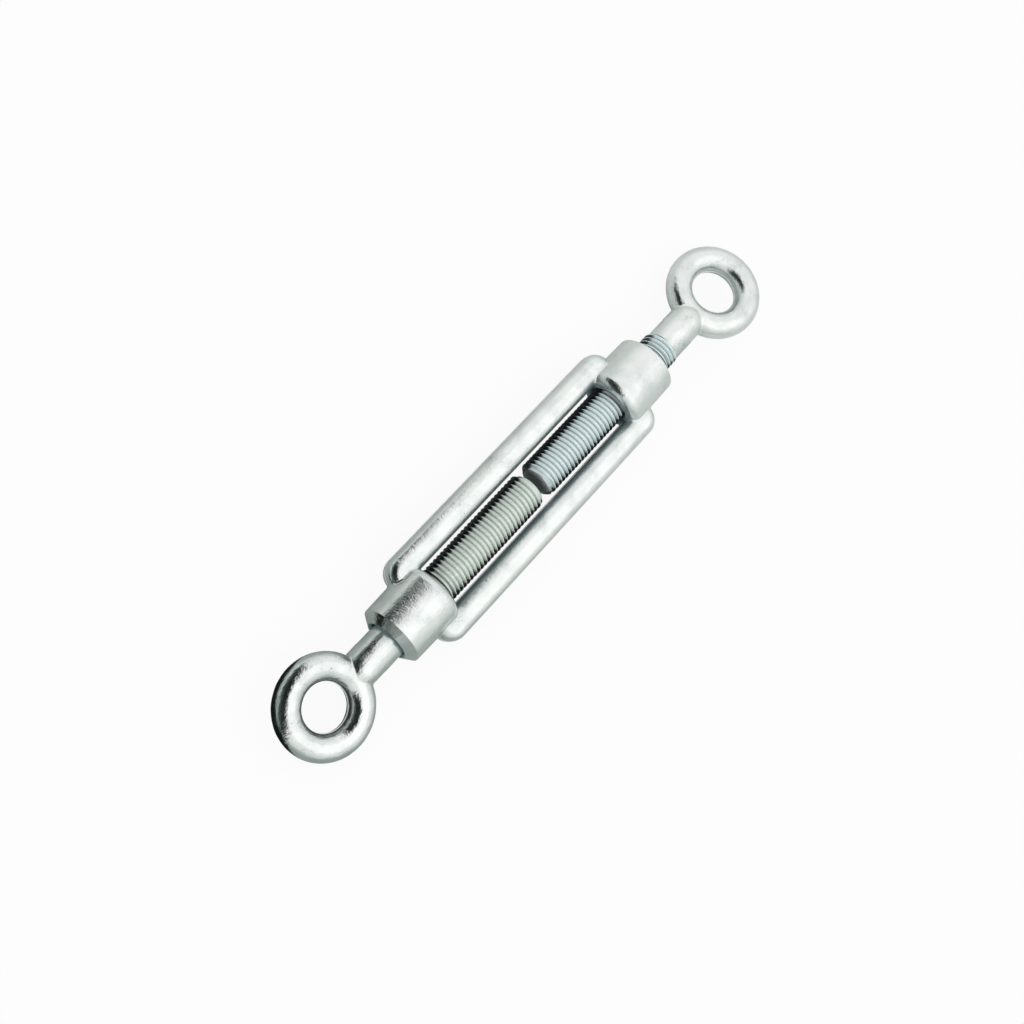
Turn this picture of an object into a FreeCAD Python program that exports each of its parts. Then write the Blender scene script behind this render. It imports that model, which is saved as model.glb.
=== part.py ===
import FreeCAD, Part
import math
import os

import Sketcher
from FreeCAD import Placement, Rotation, Vector

# Eye and eye turnbuckle, M20, of the open forged kind: a frame with two rails joins two tapped bosses, and
# a ring eye bolt is screwed into each boss, one with a left-hand and one with a right-hand thread.
# The frame of the part: X runs along the screw axis towards the right-hand eye, Y across the two rails and
# Z up, square to the window between the rails. The origin is on the screw axis midway between the eyes.

# Driving sizes in millimetres and degrees
SIZES = (
    ("body_length", 200.0, "frame, over the two boss ends"),
    ("boss_root_diameter", 33.4, "boss beside the window"),
    ("boss_end_diameter", 32.6, "boss at the start of its nose, less the forging draft"),
    ("boss_nose_length", 3.4, "cone that ends the boss"),
    ("boss_nose_diameter", 23.0, "flat end face of the boss"),
    ("boss_inner_rounding", 5.2, "round from the boss down to the window's end"),
    ("boss_face_inset", 0.2, "how far each boss face stays inside the window's width"),
    ("window_length", 132.0, "opening between the faces of the bosses"),
    ("window_width", 23.4, "opening between the rails"),
    ("window_corner", 3.5, "round in the window's corners"),
    ("boss_face_step", 1.5, "how far the boss faces stand into the window from the rails' webs"),
    ("frame_length", 162.0, "over the rails' shoulders"),
    ("frame_width", 49.6, "over the two rails"),
    ("shoulder_rounding", 9.0, "outer corner of the rails"),
    ("rail_height", 14.0, "rail, square to the window"),
    ("rail_rounding", 5.4, "round along the rails' edges"),
    ("least_flat", 0.3, "flat left between two rounds, or beside one, on a thin wall"),
    ("crease_rounding", 1.2, "forged round where the bosses meet the rails"),
    ("thread_diameter", 19.8, "screw, over the crests"),
    ("thread_depth", 1.6, "chamfer that ends the screw at its core"),
    ("thread_length", 100.0, "threaded length of each screw"),
    ("thread_clearance", 0.05, "between the crests and the bore"),
    ("bore_chamfer", 1.0, "countersink of each boss mouth"),
    ("chamfer_share", 0.65, "most that a countersink takes of the flat face around it"),
    ("mouth_clearance", 0.05, "between a countersink and the round in the window's corner"),
    ("screw_gap", 5.3, "between the ends of the two screws"),
    ("shank_diameter", 18.4, "plain shank, rolled down to the pitch diameter"),
    ("shank_nose_length", 11.7, "rounded end of the shank inside the ring"),
    ("bolt_length", 146.0, "left-hand eye's centre to the end of its screw"),
    ("eye_hole_diameter", 23.8, "hole of the ring"),
    ("eye_wire_diameter", 13.6, "section of the ring"),
    ("eye_land", 3.0, "trimmed land inside the ring"),
    ("neck_rounding", 1.5, "forged round where the shank meets the ring"),
    ("left_eye_reach", 142.3, "left-hand eye's centre from the frame's middle"),
    ("right_eye_reach", 155.0, "right-hand eye's centre from the frame's middle"),
    ("left_eye_roll", 12.0, "turn of the left-hand eye about the screw axis"),
    ("right_eye_roll", -11.0, "turn of the right-hand eye about the screw axis"),
)

# The left-hand bolt's own length, and the right-hand one's, which that bolt and the gap leave of the span
LEFT_BOLT_LENGTH = "Sizes.bolt_length"
SPAN = "(Sizes.left_eye_reach + Sizes.right_eye_reach)"
RIGHT_BOLT_LENGTH = "(%s - Sizes.bolt_length - Sizes.screw_gap)" % SPAN

# The bore, the round down to the boss face as limited by its walls, and the countersink by its flat face
BORE_RADIUS = "(Sizes.thread_diameter / 2 + Sizes.thread_clearance)"
BOSS_RADIUS = "Sizes.boss_root_diameter / 2"
WINDOW_HALF_WIDTH = "Sizes.window_width / 2"
TO_WINDOW_WALL = "%s - %s + Sizes.boss_face_inset" % (BOSS_RADIUS, WINDOW_HALF_WIDTH)
TO_BORE_WALL = "%s - %s - Sizes.least_flat" % (BOSS_RADIUS, BORE_RADIUS)
INNER_ROUNDING = "min(max(Sizes.boss_inner_rounding; %s); %s)" % (TO_WINDOW_WALL, TO_BORE_WALL)
BOSS_FACE_RADIUS = "(%s - %s)" % (BOSS_RADIUS, INNER_ROUNDING)
FLAT_WIDTH = "(min(%s; Sizes.boss_nose_diameter / 2) - %s)" % (BOSS_FACE_RADIUS, BORE_RADIUS)
MOUTH_CHAMFER = "min(Sizes.bore_chamfer; Sizes.chamfer_share * %s)" % FLAT_WIDTH

# The largest corner round of the window whose arc passes the countersink where it crosses the boss face
CORNER_ROOM = "(%s - %s - %s - Sizes.mouth_clearance)" % (WINDOW_HALF_WIDTH, BORE_RADIUS, MOUTH_CHAMFER)
CORNER_LIMIT = "{room} + {step} + sqrt(2 * {room} * {step})".format(
    room=CORNER_ROOM, step="Sizes.boss_face_step"
)
WINDOW_CORNER = "min(Sizes.window_corner; %s)" % CORNER_LIMIT

# Sketcher's numbers for the origin and the two axes of a sketch
ORIGIN = (-1, 1)
HORIZONTAL_AXIS = -1
VERTICAL_AXIS = -2
START = 1
END = 2
CENTRE = 3

SAME_PLACE = 0.001


def make_sheet(doc):
    """Write the driving sizes into a spreadsheet, one aliased cell for each."""
    sheet = doc.addObject("Spreadsheet::Sheet", "Sizes")
    for row, (alias, value, meaning) in enumerate(SIZES, start=1):
        sheet.set("A%d" % row, meaning)
        sheet.set("B%d" % row, str(value))
        sheet.setAlias("B%d" % row, alias)
    doc.recompute()


def number(owner, expression):
    """The plain number that an expression of sheet cells has now."""
    result = owner.evalExpression(expression)
    return float(getattr(result, "Value", result))


def origin_plane(body, role):
    """One of the body's own origin planes."""
    return next(item for item in body.Origin.OriginFeatures if item.Role == role)


def new_sketch(body, role, name):
    """Start a sketch on one of the body's own origin planes."""
    plane = origin_plane(body, role)
    sketch = body.newObject("Sketcher::SketchObject", name)
    sketch.AttachmentSupport = (plane, [""])
    sketch.MapMode = "FlatFace"
    return sketch


def bind(sketch, kind, references, name, expression):
    """Add a named dimension to a sketch and tie it to the sheet."""
    value = number(sketch, expression)
    index = sketch.addConstraint(Sketcher.Constraint(kind, *references, value))
    sketch.renameConstraint(index, name)
    sketch.setExpression("Constraints." + name, expression)


def rounded_rectangle(sketch, length, width, radius):
    """A rectangle about the sketch's origin with round corners, from three expressions."""
    half_length = number(sketch, length) / 2
    half_width = number(sketch, width) / 2
    round_size = number(sketch, radius)
    x_arc = half_length - round_size
    y_arc = half_width - round_size
    sides = (
        ((-x_arc, -half_width), (x_arc, -half_width)),
        ((half_length, -y_arc), (half_length, y_arc)),
        ((x_arc, half_width), (-x_arc, half_width)),
        ((-half_length, y_arc), (-half_length, -y_arc)),
    )
    centres = ((x_arc, -y_arc), (x_arc, y_arc), (-x_arc, y_arc), (-x_arc, -y_arc))
    lines = [sketch.addGeometry(Part.LineSegment(Vector(*a, 0), Vector(*b, 0))) for a, b in sides]
    arcs = []
    for turn, centre in enumerate(centres):
        circle = Part.Circle(Vector(*centre, 0), Vector(0, 0, 1), round_size)
        first = (turn - 1) * math.pi / 2
        arcs.append(sketch.addGeometry(Part.ArcOfCircle(circle, first, first + math.pi / 2)))
    for turn in range(4):
        following = lines[(turn + 1) % 4]
        sketch.addConstraint(Sketcher.Constraint("Tangent", lines[turn], END, arcs[turn], START))
        sketch.addConstraint(Sketcher.Constraint("Tangent", arcs[turn], END, following, START))
    for line in (lines[0], lines[2]):
        sketch.addConstraint(Sketcher.Constraint("Horizontal", line))
    for line in (lines[1], lines[3]):
        sketch.addConstraint(Sketcher.Constraint("Vertical", line))
    for arc in arcs[1:]:
        sketch.addConstraint(Sketcher.Constraint("Equal", arcs[0], arc))
    sketch.addConstraint(Sketcher.Constraint("Symmetric", arcs[0], CENTRE, arcs[2], CENTRE, *ORIGIN))
    bind(sketch, "DistanceX", (lines[3], START, lines[1], START), "length", length)
    bind(sketch, "DistanceY", (lines[0], START, lines[2], START), "width", width)
    bind(sketch, "Radius", (arcs[0],), "corner", radius)


def closed_profile(sketch, corners, bulge_after, bulge_radius):
    """Close an anticlockwise profile through corners, each a name and two expressions or None for an axis.
    The side that follows the corner called bulge_after is an arc that bulges outwards."""
    places = [
        Vector(number(sketch, across) if across else 0, number(sketch, up) if up else 0, 0)
        for name, across, up in corners
    ]
    ends = places[1:] + places[:1]
    sides = []
    for (name, across, up), here, there in zip(corners, places, ends):
        if name != bulge_after:
            sides.append(sketch.addGeometry(Part.LineSegment(here, there)))
            continue
        radius = number(sketch, bulge_radius)
        chord = there - here
        inward = Vector(-chord.y, chord.x, 0).normalize()
        rise = math.sqrt(radius ** 2 - (chord.Length / 2) ** 2)
        middle = (here + there) / 2 + inward * (rise - radius)
        sides.append(sketch.addGeometry(Part.Arc(here, middle, there)))
        bind(sketch, "Radius", (sides[-1],), "bulge", bulge_radius)
    for side, following in zip(sides, sides[1:] + sides[:1]):
        sketch.addConstraint(Sketcher.Constraint("Coincident", side, END, following, START))
    for side, (name, across, up) in zip(sides, corners):
        if up:
            bind(sketch, "DistanceY", (*ORIGIN, side, START), name + "_up", up)
        else:
            sketch.addConstraint(Sketcher.Constraint("PointOnObject", side, START, HORIZONTAL_AXIS))
        if across:
            bind(sketch, "DistanceX", (*ORIGIN, side, START), name + "_across", across)
        else:
            sketch.addConstraint(Sketcher.Constraint("PointOnObject", side, START, VERTICAL_AXIS))


def revolve(body, sketch, axis, name):
    """Turn a profile a full circle about one axis of its sketch."""
    feature = body.newObject("PartDesign::Revolution", name)
    feature.Profile = sketch
    feature.ReferenceAxis = (sketch, [axis])
    feature.Angle = 360
    body.Document.recompute()
    return feature


def cut_through(body, sketch, name):
    """Cut a profile through the whole body, to both sides of its sketch."""
    feature = body.newObject("PartDesign::Pocket", name)
    feature.Profile = sketch
    feature.Type = "ThroughAll"
    feature.SideType = "Symmetric"
    body.Document.recompute()


def edges_where(feature, test):
    """Names of the feature's edges whose two faces and own form pass a test."""
    shape = feature.Shape
    return [
        "Edge%d" % order
        for order, edge in enumerate(shape.Edges, start=1)
        if test(edge, shape.ancestorsOfType(edge, Part.Face))
    ]


def is_turned(face):
    """Whether a face is a cylinder, cone or torus about the screw axis."""
    surface = face.Surface
    if not isinstance(surface, (Part.Cylinder, Part.Cone, Part.Toroid)):
        return False
    off_axis = math.hypot(surface.Center.y, surface.Center.z)
    return abs(surface.Axis.x) > 1 - SAME_PLACE and off_axis < SAME_PLACE


def is_square_to_axis(face):
    """Whether a face is flat and square to the screw axis."""
    return isinstance(face.Surface, Part.Plane) and abs(face.Surface.Axis.x) > 1 - SAME_PLACE


def dress_edges(body, kind, name, test, property_name, expression):
    """Round or chamfer the chosen edges of the body's last feature."""
    base = body.Tip
    chosen = edges_where(base, test)
    feature = body.newObject(kind, name)
    feature.Base = (base, chosen)
    feature.setExpression(property_name, expression)
    body.Document.recompute()


def make_turnbuckle_body(doc):
    """The forged frame: two rails with rounded edges, and a tapped boss at each end."""
    body = doc.addObject("PartDesign::Body", "TurnbuckleBody")
    body.Label = "turnbuckle_body"

    outline = new_sketch(body, "XY_Plane", "FrameOutline")
    rounded_rectangle(outline, "Sizes.frame_length", "Sizes.frame_width", "Sizes.shoulder_rounding")
    blank = body.newObject("PartDesign::Pad", "FrameBlank")
    blank.Profile = outline
    blank.SideType = "Symmetric"
    blank.setExpression("Length", "Sizes.rail_height")
    doc.recompute()

    opening = new_sketch(body, "XY_Plane", "WindowOutline")
    web_gap = "(Sizes.window_length + 2 * Sizes.boss_face_step)"
    rounded_rectangle(opening, web_gap, "Sizes.window_width", WINDOW_CORNER)
    cut_through(body, opening, "Window")

    # Two rounds meet across each wall, so the wall limits them
    walls = (
        "(Sizes.frame_length - %s) / 2" % web_gap,
        "(Sizes.frame_width - Sizes.window_width) / 2",
        "Sizes.rail_height",
    )
    wall_limits = ["(%s - Sizes.least_flat) / 2" % wall for wall in walls]
    rail_round = "min(Sizes.rail_rounding; %s)" % "; ".join(wall_limits)
    half_height = number(body, "Sizes.rail_height / 2")

    def lies_on_a_face(edge, faces):
        box = edge.BoundBox
        return box.ZLength < SAME_PLACE and abs(abs(box.ZMax) - half_height) < SAME_PLACE

    dress_edges(body, "PartDesign::Fillet", "RailRounds", lies_on_a_face, "Radius", rail_round)

    boss_outline = new_sketch(body, "XZ_Plane", "BossOutline")
    window_end = "Sizes.window_length / 2"
    boss_end = "Sizes.body_length / 2"
    closed_profile(
        boss_outline,
        (
            ("inner_axis", window_end, None),
            ("outer_axis", boss_end, None),
            ("nose_face", boss_end, "Sizes.boss_nose_diameter / 2"),
            ("nose_start", boss_end + " - Sizes.boss_nose_length", "Sizes.boss_end_diameter / 2"),
            ("root", window_end + " + " + INNER_ROUNDING, BOSS_RADIUS),
            ("inner_face", window_end, BOSS_FACE_RADIUS),
        ),
        "root",
        INNER_ROUNDING,
    )
    boss = revolve(body, boss_outline, "H_Axis", "Boss")

    both_bosses = body.newObject("PartDesign::Mirrored", "BothBosses")
    both_bosses.Originals = [boss]
    both_bosses.MirrorPlane = (origin_plane(body, "YZ_Plane"), [""])
    body.Tip = both_bosses
    doc.recompute()

    bore_circle = new_sketch(body, "YZ_Plane", "BoreCircle")
    circle = Part.Circle(Vector(0, 0, 0), Vector(0, 0, 1), number(body, BORE_RADIUS))
    bore_edge = bore_circle.addGeometry(circle)
    bore_circle.addConstraint(Sketcher.Constraint("Coincident", bore_edge, CENTRE, *ORIGIN))
    bind(bore_circle, "Radius", (bore_edge,), "bore_radius", BORE_RADIUS)
    cut_through(body, bore_circle, "Bores")

    mouth_length = 2 * math.pi * number(body, BORE_RADIUS)

    def is_mouth(edge, faces):
        return edge.BoundBox.XLength < SAME_PLACE and abs(edge.Length - mouth_length) < SAME_PLACE

    dress_edges(body, "PartDesign::Chamfer", "BoreMouths", is_mouth, "Size", MOUTH_CHAMFER)

    def is_crease(edge, faces):
        turned = [face for face in faces if is_turned(face)]
        forged = [face for face in faces if not is_turned(face) and not is_square_to_axis(face)]
        return len(turned) == 1 and len(forged) == 1

    dress_edges(body, "PartDesign::Fillet", "Creases", is_crease, "Radius", "Sizes.crease_rounding")
    body.setExpression(".Placement.Base.x", "(Sizes.left_eye_reach - Sizes.right_eye_reach) / 2")
    return body


def make_eye_bolt(doc, name, label, length):
    """A forged ring eye on a round shank that ends in a screw. The eye's centre is at the body's origin,
    the ring lies in the XY plane and the screw points along +X, its end at the expression for the length."""
    body = doc.addObject("PartDesign::Body", name)
    body.Label = label

    section = new_sketch(body, "XZ_Plane", name + "RingSection")
    hole_radius = "Sizes.eye_hole_diameter / 2"
    hole = number(section, hole_radius)
    wire = number(section, "Sizes.eye_wire_diameter / 2")
    half_land = number(section, "Sizes.eye_land / 2")
    land_angle = math.asin(half_land / wire)
    centre = Vector(hole + wire * math.cos(land_angle), 0, 0)
    ring_circle = Part.Circle(centre, Vector(0, 0, 1), wire)
    round_edge = section.addGeometry(
        Part.ArcOfCircle(ring_circle, land_angle - math.pi, math.pi - land_angle)
    )
    land_edge = section.addGeometry(Part.LineSegment(Vector(hole, half_land, 0), Vector(hole, -half_land, 0)))
    section.addConstraint(Sketcher.Constraint("Coincident", round_edge, END, land_edge, START))
    section.addConstraint(Sketcher.Constraint("Coincident", land_edge, END, round_edge, START))
    section.addConstraint(Sketcher.Constraint("Vertical", land_edge))
    section.addConstraint(Sketcher.Constraint("PointOnObject", round_edge, CENTRE, HORIZONTAL_AXIS))
    bind(section, "DistanceX", (*ORIGIN, land_edge, START), "hole_radius", hole_radius)
    bind(section, "DistanceY", (land_edge, END, land_edge, START), "land", "Sizes.eye_land")
    bind(section, "Radius", (round_edge,), "wire_radius", "Sizes.eye_wire_diameter / 2")
    revolve(body, section, "V_Axis", name + "Ring")

    screw_outline = new_sketch(body, "XZ_Plane", name + "ScrewOutline")
    ring_edge = "(Sizes.eye_hole_diameter / 2 + Sizes.eye_wire_diameter)"
    shank = "Sizes.shank_diameter / 2"
    crest = "Sizes.thread_diameter / 2"
    thread_start = length + " - Sizes.thread_length"
    nose = "Sizes.shank_nose_length"
    closed_profile(
        screw_outline,
        (
            ("nose_tip", ring_edge + " - " + nose, None),
            ("screw_axis", length, None),
            ("screw_end", length, crest + " - Sizes.thread_depth"),
            ("crest_end", length + " - Sizes.thread_depth", crest),
            ("crest_start", thread_start + " + (%s - %s)" % (crest, shank), crest),
            ("shank_end", thread_start, shank),
            ("shank_start", ring_edge, shank),
        ),
        "shank_start",
        "(%s ^ 2 + (%s) ^ 2) / (2 * (%s))" % (nose, shank, shank),
    )
    revolve(body, screw_outline, "H_Axis", name + "Screw")

    def is_neck(edge, faces):
        on_ring = [face for face in faces if isinstance(face.Surface, Part.Toroid)]
        on_nose = [face for face in faces if isinstance(face.Surface, Part.SurfaceOfRevolution)]
        return len(on_ring) == 1 and len(on_nose) == 1

    dress_edges(body, "PartDesign::Fillet", name + "Neck", is_neck, "Radius", "Sizes.neck_rounding")
    return body


def make_turnbuckle(doc):
    """All three pieces in their places, screwed together as in use."""
    frame = make_turnbuckle_body(doc)
    screw_axis = Vector(1, 0, 0)
    half_turn = Rotation(Vector(0, 0, 1), 180)

    left = make_eye_bolt(doc, "LeftHandEyeBolt", "left_hand_eye_bolt", LEFT_BOLT_LENGTH)
    left.Placement = Placement(Vector(), Rotation(screw_axis, number(left, "Sizes.left_eye_roll")))
    left.setExpression(".Placement.Base.x", "-%s / 2" % SPAN)

    right = make_eye_bolt(doc, "RightHandEyeBolt", "right_hand_eye_bolt", RIGHT_BOLT_LENGTH)
    right_roll = Rotation(screw_axis, number(right, "Sizes.right_eye_roll"))
    right.Placement = Placement(Vector(), right_roll * half_turn)
    right.setExpression(".Placement.Base.x", "%s / 2" % SPAN)
    doc.recompute()
    return [frame, left, right]


def main():
    doc = FreeCAD.newDocument("turnbuckle")
    make_sheet(doc)
    pieces = make_turnbuckle(doc)
    doc.recompute()
    for item in doc.Objects:
        if "Invalid" in item.State or "Error" in item.State:
            raise RuntimeError("%s has failed: %s" % (item.Name, item.State))
    os.makedirs("parts", exist_ok=True)
    for piece in pieces:
        if piece.Shape.isNull() or not piece.Shape.isValid():
            raise RuntimeError("%s has no valid shape" % piece.Label)
    for piece in pieces:
        piece.Shape.exportStep("parts/%s.step" % piece.Label)
        print(piece.Label, round(piece.Shape.Volume, 1), piece.Shape.BoundBox)


main()
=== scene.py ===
import math

import bmesh
import bpy
from bpy.props import FloatProperty, FloatVectorProperty, IntProperty, PointerProperty
from mathutils import Matrix, Vector, noise


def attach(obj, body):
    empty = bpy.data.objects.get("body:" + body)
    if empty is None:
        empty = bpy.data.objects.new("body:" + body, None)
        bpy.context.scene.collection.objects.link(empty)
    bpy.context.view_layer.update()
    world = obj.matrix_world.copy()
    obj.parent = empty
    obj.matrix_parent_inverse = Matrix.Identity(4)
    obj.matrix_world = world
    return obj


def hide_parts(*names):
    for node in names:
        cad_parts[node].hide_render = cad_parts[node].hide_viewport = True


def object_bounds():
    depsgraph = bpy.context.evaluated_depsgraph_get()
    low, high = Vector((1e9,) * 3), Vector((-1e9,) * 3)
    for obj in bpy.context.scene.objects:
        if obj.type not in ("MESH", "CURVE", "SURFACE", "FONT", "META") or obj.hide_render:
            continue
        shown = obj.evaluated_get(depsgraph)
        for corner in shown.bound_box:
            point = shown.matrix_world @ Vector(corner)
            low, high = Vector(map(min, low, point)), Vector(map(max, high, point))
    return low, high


bl_info = {
    "name": "Eye and eye turnbuckle",
    "version": (1, 0, 0),
    "blender": (4, 5, 0),
    "location": "3D View > Sidebar > Turnbuckle",
    "description": "Dresses the packed turnbuckle with forged eye bolts, real threads and zinc finishes",
    "category": "Object",
}

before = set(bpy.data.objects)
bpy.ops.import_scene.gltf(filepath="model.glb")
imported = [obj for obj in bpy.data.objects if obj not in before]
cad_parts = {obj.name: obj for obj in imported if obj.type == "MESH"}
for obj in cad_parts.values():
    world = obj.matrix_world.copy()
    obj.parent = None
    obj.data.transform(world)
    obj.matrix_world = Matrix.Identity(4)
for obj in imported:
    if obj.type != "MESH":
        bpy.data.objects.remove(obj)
CAD_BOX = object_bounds()

# Patterns of the forged zinc skin, by the width of one spot
CLOUD_SIZE = 0.009
DENT_SIZE = 0.0022
GRAIN_SIZE = 0.0008
SPECK_SIZE = 0.0005
# Dull patches on the threads
PATCH_SIZE = 0.003
# Noise above this level is a pit, and the pit's edge takes this much more
PIT_LEVEL = 0.42
PIT_EDGE = 0.05
# Rays that look for neighbours for the painted crevice shade, and how much less open a place on a side with
# painted shade counts as
SHADE_SAMPLES = 12
SIDE_SHADE_EFFECT = 0.35
# How much of the metal's shine full painted shade hides
SHADE_COVER = 0.8
# The thread's sides beside the rails, which get painted shade, begin and end at these shares of its crest
# radius
FLANK_START = 0.68
FLANK_END = 0.88
# The crest's tint reaches down this far, and below it the colour turns towards the painted root shade
CREST_DEPTH = 0.0003
# Share of a thread's crest that each of its rounded shoulders takes
CREST_SHOULDER = 0.3
# Turns of thread made beyond the run-out and cut off again
SPARE_TURNS = 2
# Width of a flash line at its top, as a share of its foot
FLASH_TAPER = 0.6
# Edges sharper than these stay sharp in the shading
FLASH_CREASE = math.radians(50)
THREAD_CREASE = math.radians(32)
# Waves of the forged skin for each metre, and the noise that they come from
SKIN_WAVES = 260
SKIN_NOISE = (0.6, 2.1, 3)
SKIN_MEAN = 0.7
SKIN_SHIFT = 7
# The waves fade out over this length of the shank, and end this far before its cut
SKIN_FADE = 0.006
SKIN_MARGIN = 0.001
# The plain shank runs on past its cut by this much while the skin is made
SHANK_SPARE = 0.004
# Gap between the shank and the screw that one ring of faces closes
JOIN_GAP = 0.0003
# Points nearer than this are one point: in a cut, in a spun section, in the turns of a thread
CUT_SNAP = 1e-7
WELD = 1e-6
THREAD_WELD = 3e-6
# Edges nearer than this to a place along the screw axis lie at it
AT_PLACE = 1e-5
# The floor's mirrored tone turns from painted shade to its bright tone between these places along the part
FLOOR_TURN = (-0.2, 0.15)
# The cloth's foot fades between these heights, and between these places along the part
CLOTH_FOOT = (0.04, 0.18)
CLOTH_BEHIND = (-0.3, -0.42)
# The room brightens in this direction, between these two shares of it
ROOM_UP = (0.08, 0.0, 0.97)
ROOM_RISE = (-0.1, 0.72)
# The camera's sensor in millimetres and the nearest thing that it sees
SENSOR_WIDTH = 36
NEAREST = 0.01


def linear(code):
    """A colour written as sRGB hex, in the linear values that shaders and lamps take."""
    values = []
    for start in (1, 3, 5):
        level = int(code[start:start + 2], 16) / 255
        values.append(level / 12.92 if level <= 0.04045 else ((level + 0.055) / 1.055) ** 2.4)
    return tuple(values)


class ScrewSizes(bpy.types.PropertyGroup):
    """The rolled M20 thread on both eye bolts."""

    pitch: FloatProperty(
        name="Pitch", description="Advance of the screw in one turn", default=0.0025, unit="LENGTH"
    )
    crest_diameter: FloatProperty(
        name="Crest diameter", description="Over the thread's crests", default=0.0198, unit="LENGTH"
    )
    root_diameter: FloatProperty(
        name="Root diameter", description="At the thread's roots", default=0.0168, unit="LENGTH"
    )
    crest_flat: FloatProperty(
        name="Crest flat", description="Width of the flat along a crest", default=0.0004, unit="LENGTH"
    )
    root_flat: FloatProperty(
        name="Root flat", description="Width of the round in a root", default=0.0005, unit="LENGTH"
    )
    crest_round: FloatProperty(
        name="Crest rounding", description="Drop of a crest's corners", default=0.00004, unit="LENGTH"
    )
    root_round: FloatProperty(
        name="Root rounding", description="Rise of a root's corners", default=0.0000525, unit="LENGTH"
    )
    length: FloatProperty(
        name="Thread length", description="From the screw's end", default=0.1015, unit="LENGTH"
    )
    runout_turns: FloatProperty(
        name="Run-out", description="Turns over which the thread fades into the shank", default=0.4
    )
    end_chamfer: FloatProperty(
        name="End chamfer", description="Depth of the chamfer on the screw's end", default=0.0016,
        unit="LENGTH"
    )
    steps: IntProperty(name="Steps", description="Divisions of one turn of the thread", default=56)


class EyeSizes(bpy.types.PropertyGroup):
    """The forged ring and the shank of an eye bolt."""

    hole_diameter: FloatProperty(name="Hole", description="Hole of the ring", default=0.0238, unit="LENGTH")
    wire_diameter: FloatProperty(
        name="Section", description="Section of the ring", default=0.0136, unit="LENGTH"
    )
    land: FloatProperty(name="Land", description="Trimmed land inside the ring", default=0.003, unit="LENGTH")
    shank_diameter: FloatProperty(name="Shank", description="Plain shank", default=0.0184, unit="LENGTH")
    nose_length: FloatProperty(
        name="Nose", description="Rounded end of the shank inside the ring", default=0.0117, unit="LENGTH"
    )
    bolt_length: FloatProperty(
        name="Bolt length", description="Eye centre to the end of the screw", default=0.146, unit="LENGTH"
    )
    neck_length: FloatProperty(
        name="Neck", description="How far the soft neck runs along the shank", default=0.006, unit="LENGTH"
    )
    reach: FloatProperty(
        name="Reach", description="Eye centre from the middle of the part", default=0.14865, unit="LENGTH"
    )
    left_roll: FloatProperty(
        name="Left roll", description="Turn of the left-hand eye about the screw axis",
        default=math.radians(12), subtype="ANGLE"
    )
    right_roll: FloatProperty(
        name="Right roll", description="Turn of the right-hand eye about the screw axis",
        default=math.radians(-11), subtype="ANGLE"
    )
    grain: FloatProperty(
        name="Surface grain", description="Edge of the cells that the forged skin is made of",
        default=0.00036, unit="LENGTH"
    )
    waviness: FloatProperty(
        name="Waviness", description="How far the forged skin rises and falls", default=0.00005,
        unit="LENGTH"
    )
    smoothing: IntProperty(
        name="Smoothing", description="Passes that soften the corner of the neck", default=14
    )
    section_steps: IntProperty(
        name="Section steps", description="Divisions of the ring's section", default=44
    )
    ring_steps: IntProperty(name="Ring steps", description="Divisions of the ring", default=160)
    shank_steps: IntProperty(name="Shank steps", description="Divisions of the shank", default=96)
    nose_steps: IntProperty(name="Nose steps", description="Divisions of the shank's nose", default=16)


class FlashSizes(bpy.types.PropertyGroup):
    """The parting line of the forgings, where the flash was trimmed off."""

    height: FloatProperty(
        name="Height", description="Of the line on the frame", default=0.0007, unit="LENGTH"
    )
    depth: FloatProperty(
        name="Depth", description="How deep it is set into the wall", default=0.0004, unit="LENGTH"
    )
    outer_rise: FloatProperty(
        name="Outer rise", description="How far it stands out of the rails' outer sides", default=0.00012,
        unit="LENGTH"
    )
    inner_rise: FloatProperty(
        name="Inner rise", description="How far it stands into the window", default=0.00026, unit="LENGTH"
    )
    outline_length: FloatProperty(
        name="Outline length", description="Over the rails' shoulders", default=0.162, unit="LENGTH"
    )
    outline_width: FloatProperty(
        name="Outline width", description="Over the two rails", default=0.0496, unit="LENGTH"
    )
    outline_corner: FloatProperty(
        name="Outline corner", description="Outer corner of the rails", default=0.009, unit="LENGTH"
    )
    window_length: FloatProperty(
        name="Window length", description="Between the faces of the bosses", default=0.1318, unit="LENGTH"
    )
    window_width: FloatProperty(
        name="Window width", description="Opening between the rails", default=0.0234, unit="LENGTH"
    )
    frame_middle: FloatProperty(
        name="Frame middle", description="Place of the frame's middle on the screw axis", default=-0.00635,
        unit="LENGTH"
    )
    eye_height: FloatProperty(
        name="Eye line", description="Height of the line inside a ring", default=0.0006, unit="LENGTH"
    )
    eye_rise: FloatProperty(
        name="Eye rise", description="How far it stands into the ring's hole", default=0.00024,
        unit="LENGTH"
    )
    corner_steps: IntProperty(name="Corner steps", description="Divisions of a rail's shoulder", default=16)
    eye_steps: IntProperty(name="Eye steps", description="Divisions of the line inside a ring", default=120)


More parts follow.
